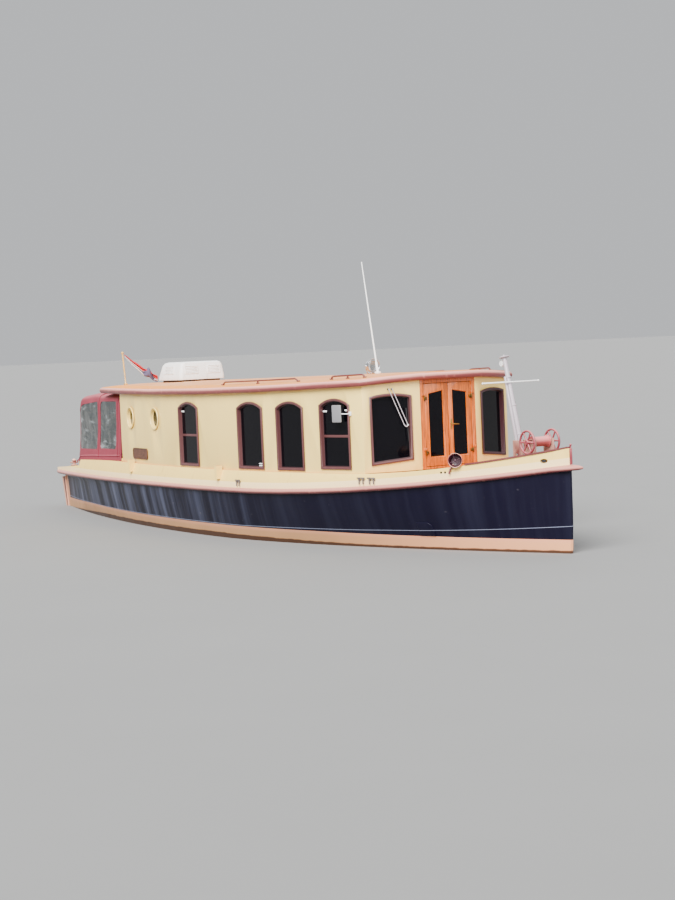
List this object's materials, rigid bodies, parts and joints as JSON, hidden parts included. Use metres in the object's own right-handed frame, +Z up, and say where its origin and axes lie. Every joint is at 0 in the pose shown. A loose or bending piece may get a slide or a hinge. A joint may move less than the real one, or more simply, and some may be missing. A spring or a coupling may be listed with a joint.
{
  "type": "houseboat",
  "caption": "Double-ended canal houseboat with a full-width cabin, glazed front doors, foredeck with mast and windlass, and a cockpit under a canvas hood.",
  "frame": {"origin": "on the waterline, on the centreline, midway between the two ends of the waterline", "axes": "+X towards the bow, +Y to port, +Z up"},
  "size_m": [13.8436, 3.1, 4.2261],
  "materials": {
    "hull_paint": "satin",
    "cream_paint": "gloss",
    "maroon_paint": "satin",
    "varnish": "gloss",
    "roof_paint": "matte",
    "white_plastic": "satin",
    "grey_paint": "satin",
    "chrome": "polished",
    "bronze": "satin",
    "engine_iron": "painted",
    "teak": "oiled",
    "canvas": "matte",
    "bunting": "matte",
    "pine": "satin"
  },
  "bodies": {
    "boat": {"hull_shell": "hull_paint", "skeg": "hull_paint", "cabin_side_starboard": "cream_paint", "front_panel_starboard": "cream_paint", "front_window_starboard": "maroon_paint", "side_window_starboard_1": "maroon_paint", "side_window_starboard_2": "maroon_paint", "side_window_starboard_3": "maroon_paint", "side_window_starboard_4": "maroon_paint", "porthole_starboard_1": "cream_paint", "porthole_starboard_2": "cream_paint", "grab_rail_starboard_aft": "maroon_paint", "grab_rail_starboard_fore": "maroon_paint", "cabin_side_port": "cream_paint", "front_panel_port": "cream_paint", "front_window_port": "maroon_paint", "side_window_port_1": "maroon_paint", "side_window_port_2": "maroon_paint", "side_window_port_3": "maroon_paint", "side_window_port_4": "maroon_paint", "porthole_port_1": "cream_paint", "porthole_port_2": "cream_paint", "grab_rail_port_aft": "maroon_paint", "grab_rail_port_fore": "maroon_paint", "engine_block": "engine_iron", "cabin_sole": "teak", "cockpit_sole": "teak", "rubbing_strake": "maroon_paint", "bulwark_cap_rail": "maroon_paint", "stem_post": "maroon_paint", "roof_panel": "roof_paint", "roof_edge_band": "maroon_paint", "door_frame": "varnish", "aft_bulkhead": "cream_paint", "roof_unit": "white_plastic", "searchlight": "chrome", "whip_pole": "white_plastic", "flagpole": "pine", "flag": "bunting", "mast_step": "maroon_paint", "windlass_frame": "maroon_paint", "cowl": "maroon_paint", "stern_bollard": "maroon_paint", "cockpit_bench": "teak", "helm_console": "teak", "cockpit_coaming": "cream_paint", "cockpit_hood": "canvas"},
    "rudder": {"rudder": "maroon_paint"},
    "propeller": {"propeller": "bronze"},
    "door_starboard": {"door_leaf_starboard": "varnish"},
    "door_port": {"door_leaf_port": "varnish"},
    "door_aft": {"aft_door": "varnish"},
    "windlass": {"windlass_drum": "maroon_paint"},
    "wheel": {"helm_wheel": "varnish"},
    "mast": {"mast": "grey_paint"}
  },
  "joints": [
    {"name": "rudder_steer", "type": "hinge", "parent": "boat", "child": "rudder", "pos_m": [-6.6, 0, 0], "axis": [-0.1676, 0, 0.9859], "range_deg": [-35, 35]},
    {"name": "propeller_spin", "type": "hinge", "parent": "boat", "child": "propeller", "pos_m": [-5.93, 0, -0.4], "axis": [1, 0, 0], "continuous": true},
    {"name": "door_starboard_swing", "type": "hinge", "parent": "boat", "child": "door_starboard", "pos_m": [4.311, -0.358, 1.47], "axis": [0, 0, 1], "range_deg": [-100, 0]},
    {"name": "door_port_swing", "type": "hinge", "parent": "boat", "child": "door_port", "pos_m": [4.311, 0.358, 1.47], "axis": [0, 0, 1], "range_deg": [0, 100]},
    {"name": "door_aft_swing", "type": "hinge", "parent": "boat", "child": "door_aft", "pos_m": [-2.461, 0.296, 1.43], "axis": [0, 0, 1], "range_deg": [-95, 0]},
    {"name": "windlass_turn", "type": "hinge", "parent": "boat", "child": "windlass", "pos_m": [6.06, 0, 1.278], "axis": [0, 1, 0], "continuous": true},
    {"name": "wheel_turn", "type": "hinge", "parent": "boat", "child": "wheel", "pos_m": [3.4, -0.56, 1.12], "axis": [1, 0, 0], "range_deg": [-540, 540]},
    {"name": "mast_lower", "type": "hinge", "parent": "boat", "child": "mast", "pos_m": [5.735, 0, 1.12], "axis": [0, 1, 0], "range_deg": [-74, 0]}
  ]
}
